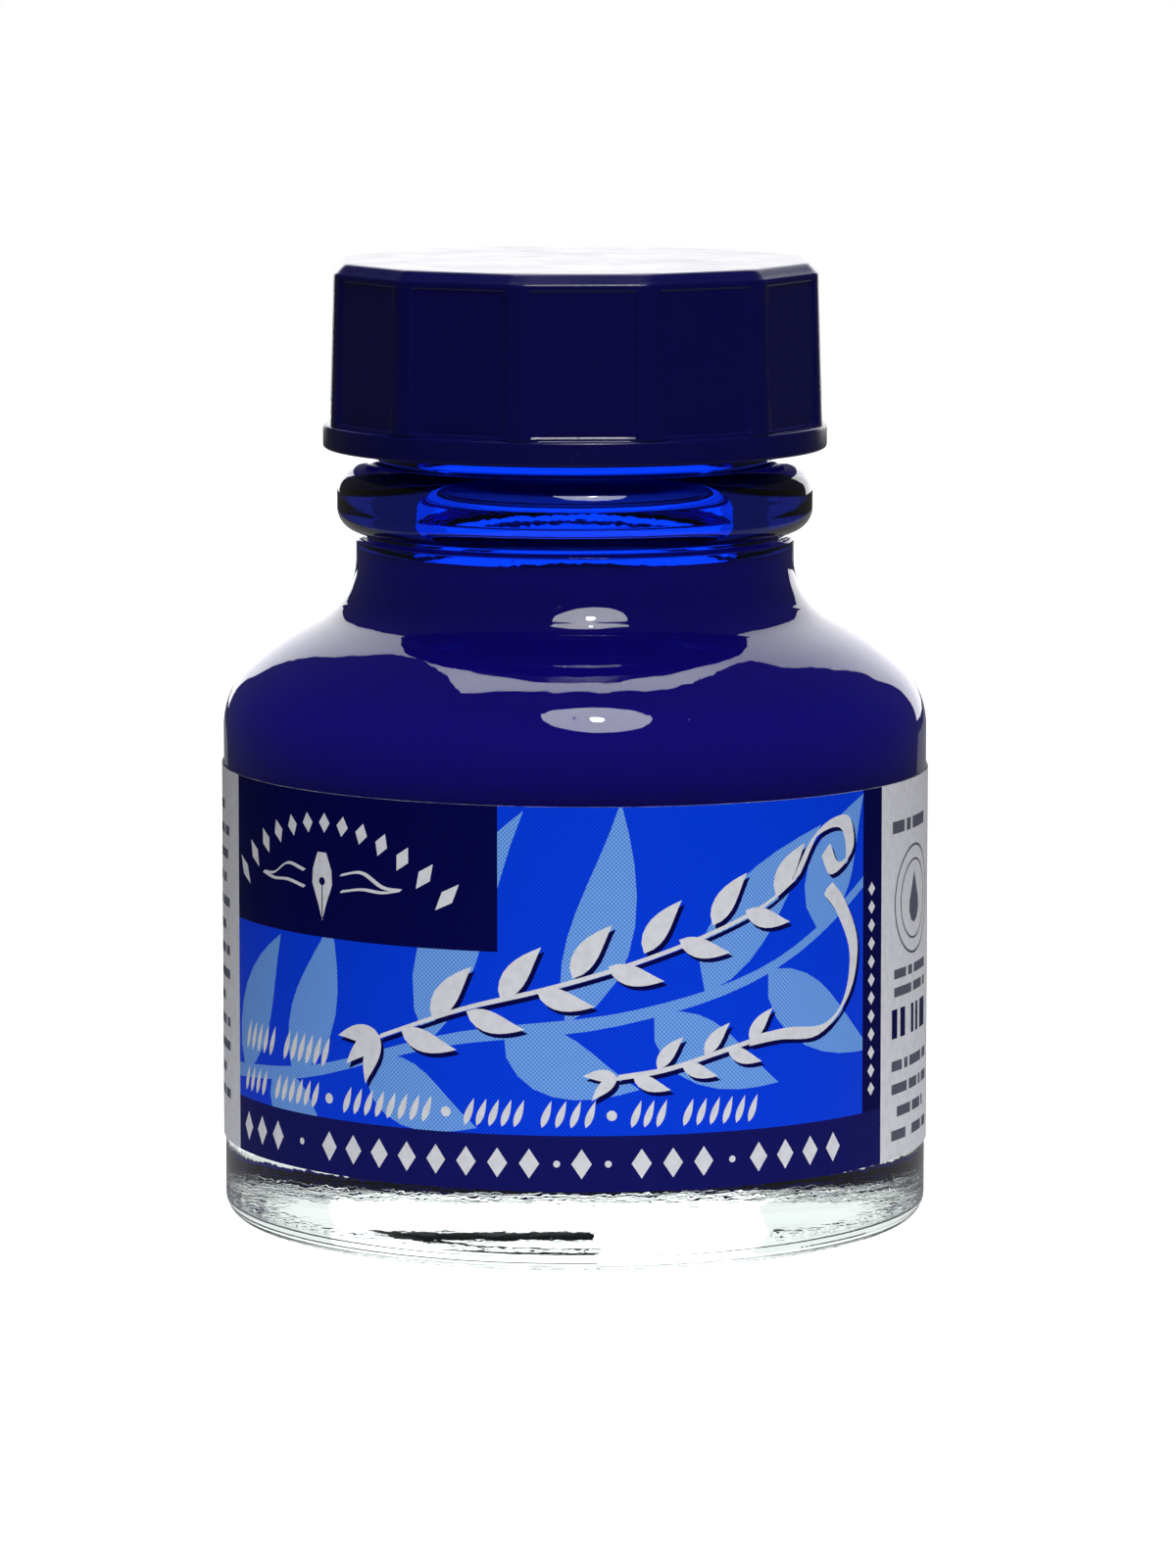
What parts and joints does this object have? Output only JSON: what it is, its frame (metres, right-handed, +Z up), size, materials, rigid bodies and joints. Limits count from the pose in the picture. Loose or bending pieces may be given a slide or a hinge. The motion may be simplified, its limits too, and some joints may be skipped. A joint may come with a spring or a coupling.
{
  "type": "ink bottle",
  "caption": "Small round glass ink bottle with a sloping shoulder, wrap label, twelve-sided screw cap and foam sealing wad, filled with dark blue ink.",
  "frame": {"origin": "on the bottle's axis, on the surface that the bottle stands on", "axes": "+Z up along the bottle's axis towards the cap; -Y towards the front of the label; +X to the right of someone who looks at that front"},
  "size_m": [0.0412, 0.0412, 0.0558],
  "materials": {
    "clear_glass": "clear, polished, moulded",
    "blue_ink": "dark blue liquid",
    "printed_label": "coated, printed in blues and white",
    "navy_plastic": "satin moulded, fine grain",
    "white_foam": "fine closed-cell foam"
  },
  "bodies": {
    "bottle": {"bottle": "clear_glass", "ink": "blue_ink", "label": "printed_label"},
    "wad": {"wad": "white_foam"},
    "cap": {"cap": "navy_plastic"}
  },
  "joints": [
    {"name": "cap_lift", "type": "slide", "parent": "bottle", "child": "wad", "axis": [0, 0, 1], "range_m": [0, 0.0165]},
    {"name": "cap_turn", "type": "hinge", "parent": "wad", "child": "cap", "pos_m": [0, 0, 0.05], "axis": [0, 0, 1], "range_deg": [0, 1980]}
  ],
  "couplings": [
    {"joint": "cap_lift", "follows": "cap_turn", "m_per_rad": 0.00047746}
  ]
}
